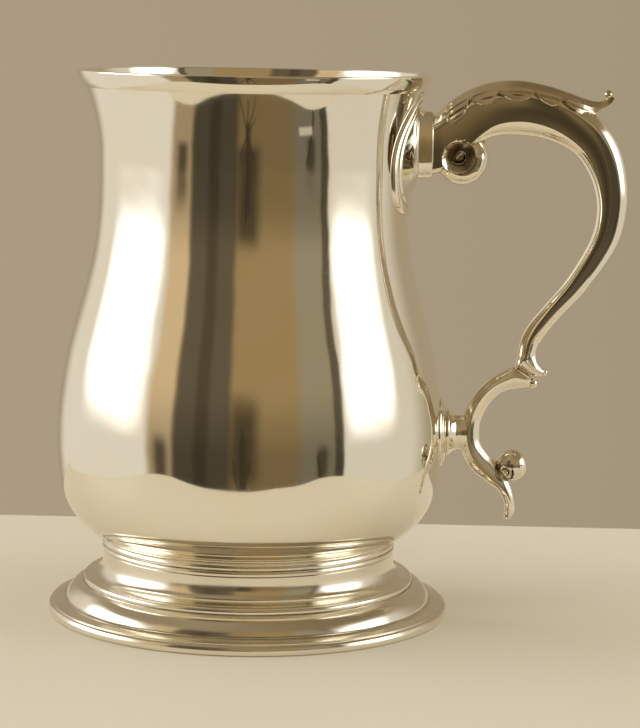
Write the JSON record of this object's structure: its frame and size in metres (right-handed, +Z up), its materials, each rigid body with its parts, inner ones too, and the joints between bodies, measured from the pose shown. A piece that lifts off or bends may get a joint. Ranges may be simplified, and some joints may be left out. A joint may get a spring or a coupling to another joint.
{
  "type": "silver baluster mug",
  "caption": "Handled silver drinking mug with a baluster body, a spread stepped foot and a double-scroll handle with a thumb leaf.",
  "frame": {"origin": "middle of the footprint of the whole mug, on the plane that the foot stands on; the body's turning axis is 25.7 mm along -X from it", "axes": "+Z up through the mouth, +X towards the handle, +Y across the handle"},
  "size_m": [0.1728, 0.1214, 0.163],
  "materials": {
    "body": "hand-raised sterling silver, bright polished with fine wear scratches",
    "foot": "sterling silver, bright polished, warmer tarnish in the mouldings",
    "joints": "cast sterling silver, polished",
    "castings": "cast and chased sterling silver, polished, darker in the hollows"
  },
  "bodies": {
    "root": {"body": "body", "rim_moulding": "body", "foot": "foot", "foot_collar": "foot", "foot_edge_wire": "foot", "upper_joint_plate": "joints", "upper_socket": "joints", "lower_joint_disc": "joints", "lower_strut": "joints", "upper_scroll_left": "castings", "upper_scroll_right": "castings", "lower_scroll_left": "castings", "lower_scroll_right": "castings", "thumb_leaf": "castings"}
  },
  "joints": []
}
